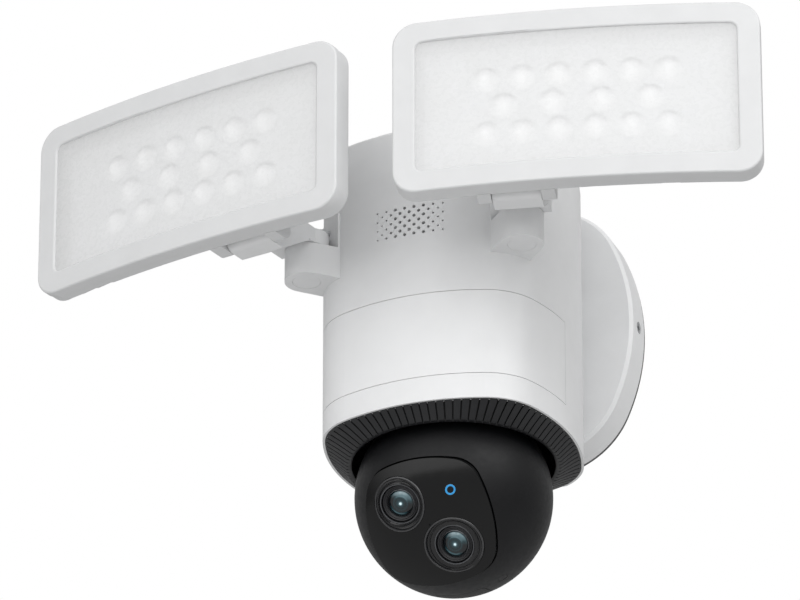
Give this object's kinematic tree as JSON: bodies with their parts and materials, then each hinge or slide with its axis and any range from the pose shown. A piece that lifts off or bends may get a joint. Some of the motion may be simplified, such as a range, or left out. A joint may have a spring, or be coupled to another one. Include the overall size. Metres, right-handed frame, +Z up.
{
  "type": "floodlight security camera",
  "caption": "Wall-mounted security camera with a panning and tilting two-lens ball under a squarish housing and two swivelling LED floodlight panels.",
  "frame": {"origin": "centre of the mounting strap's screw slots, on the wall plane behind the wall cover", "axes": "+Y into the wall, +X to the right of someone facing the camera, +Z up"},
  "size_m": [0.3162, 0.1647, 0.2071],
  "materials": {
    "white_plastic": "satin white moulded plastic",
    "window_plastic": "thin translucent white plastic",
    "black_plastic": "charcoal moulded plastic",
    "ball_plastic": "satin black moulded plastic",
    "gloss_black": "polished black panel",
    "bezel": "black lens ring",
    "lens_barrel": "black anodised barrel",
    "lens_glass": "coated lens glass",
    "blue_light": "blue ring light",
    "diffuser": "milky light diffuser",
    "led": "white LED under a lens",
    "board": "green circuit board",
    "led_board": "aluminium circuit board",
    "component": "moulded component",
    "steel": "zinc-plated steel",
    "inner_plastic": "grey moulded inner part",
    "gear": "natural acetal gear",
    "rubber": "soft black rubber",
    "foam": "grey foam gasket",
    "speaker": "black driver"
  },
  "bodies": {
    "housing": {"wall_cover": "white_plastic", "wall_gasket": "foam", "mounting_strap": "steel", "ground_screw": "steel", "cover_side_screws": "steel", "main_housing": "white_plastic", "rear_cover": "inner_plastic", "housing_screws": "steel", "lead_grommet": "rubber", "motion_window": "window_plastic", "motion_sensors": "steel", "speaker": "speaker", "main_board": "board", "power_board": "board", "board_parts": "component", "ribbed_ring": "black_plastic", "pan_deck": "inner_plastic", "deck_screws": "steel", "pan_bush": "gear", "pan_motor": "steel", "pan_motor_mount": "steel", "bracket_screws": "steel", "pivot_caps": "white_plastic", "right_arm_bracket": "white_plastic", "left_arm_bracket": "white_plastic"},
    "turntable": {"pan_gear": "gear", "tilt_yoke": "inner_plastic", "yoke_shroud": "ball_plastic", "tilt_motor": "steel"},
    "pan_pinion": {"pan_pinion": "gear"},
    "tilt_pinion": {"tilt_pinion": "gear"},
    "ball": {"tilt_gear": "gear", "trunnion_pins": "steel", "ball_front_shell": "ball_plastic", "ball_rear_shell": "ball_plastic", "face_panel": "gloss_black", "wide_lens_bezel": "bezel", "tele_lens_bezel": "bezel", "lens_barrels": "lens_barrel", "lens_glasses": "lens_glass", "status_light": "blue_light", "camera_board": "board", "card_socket": "steel"},
    "card_cover": {"card_cover": "rubber"},
    "reset_button": {"reset_button": "rubber"},
    "right_knuckle": {"right_lamp_knuckle": "white_plastic"},
    "right_lamp": {"right_hinge_pin": "steel", "right_lamp_rear": "white_plastic", "right_lamp_frame": "white_plastic", "right_diffuser": "diffuser", "right_led_board": "led_board", "right_leds": "led"},
    "left_knuckle": {"left_lamp_knuckle": "white_plastic"},
    "left_lamp": {"left_hinge_pin": "steel", "left_lamp_rear": "white_plastic", "left_lamp_frame": "white_plastic", "left_diffuser": "diffuser", "left_led_board": "led_board", "left_leds": "led"}
  },
  "joints": [
    {"name": "camera_pan", "type": "hinge", "parent": "housing", "child": "turntable", "pos_m": [0, -0.0617, -0.0922], "axis": [0, 0, 1], "range_deg": [-175, 175]},
    {"name": "pan_pinion_spin", "type": "hinge", "parent": "housing", "child": "pan_pinion", "pos_m": [0.028, -0.0617, -0.042], "axis": [0, 0, 1], "range_deg": [-705, 705]},
    {"name": "camera_tilt", "type": "hinge", "parent": "turntable", "child": "ball", "pos_m": [0, -0.0617, -0.0922], "axis": [1, 0, 0], "range_deg": [-52, 50]},
    {"name": "tilt_pinion_spin", "type": "hinge", "parent": "turntable", "child": "tilt_pinion", "pos_m": [0.02, -0.0509, -0.07933], "axis": [1, 0, 0], "range_deg": [-160, 160]},
    {"name": "card_cover_pull", "type": "slide", "parent": "ball", "child": "card_cover", "axis": [0, 0.3371, -0.9415], "range_m": [0, 0.004]},
    {"name": "reset_button_press", "type": "slide", "parent": "ball", "child": "reset_button", "axis": [-0.454, -0.1807, 0.8725], "range_m": [0, 0.0006], "stiffness_N_per_m": 400},
    {"name": "right_lamp_swivel", "type": "hinge", "parent": "housing", "child": "right_knuckle", "pos_m": [0.0471, -0.1079, 0.008], "axis": [0, 0, 1], "range_deg": [-10, 45]},
    {"name": "right_lamp_tilt", "type": "hinge", "parent": "right_knuckle", "child": "right_lamp", "pos_m": [0.05517, -0.14232, 0.0001], "axis": [0.9736, 0.2284, 0], "range_deg": [-15, 35]},
    {"name": "left_lamp_swivel", "type": "hinge", "parent": "housing", "child": "left_knuckle", "pos_m": [-0.0471, -0.1079, 0.008], "axis": [0, 0, 1], "range_deg": [-45, 10]},
    {"name": "left_lamp_tilt", "type": "hinge", "parent": "left_knuckle", "child": "left_lamp", "pos_m": [-0.05517, -0.14232, 0.0001], "axis": [0.9736, -0.2284, 0], "range_deg": [-15, 35]}
  ],
  "couplings": [
    {"joint": "pan_pinion_spin", "follows": "camera_pan", "ratio": -4},
    {"joint": "tilt_pinion_spin", "follows": "camera_tilt", "ratio": -3}
  ]
}
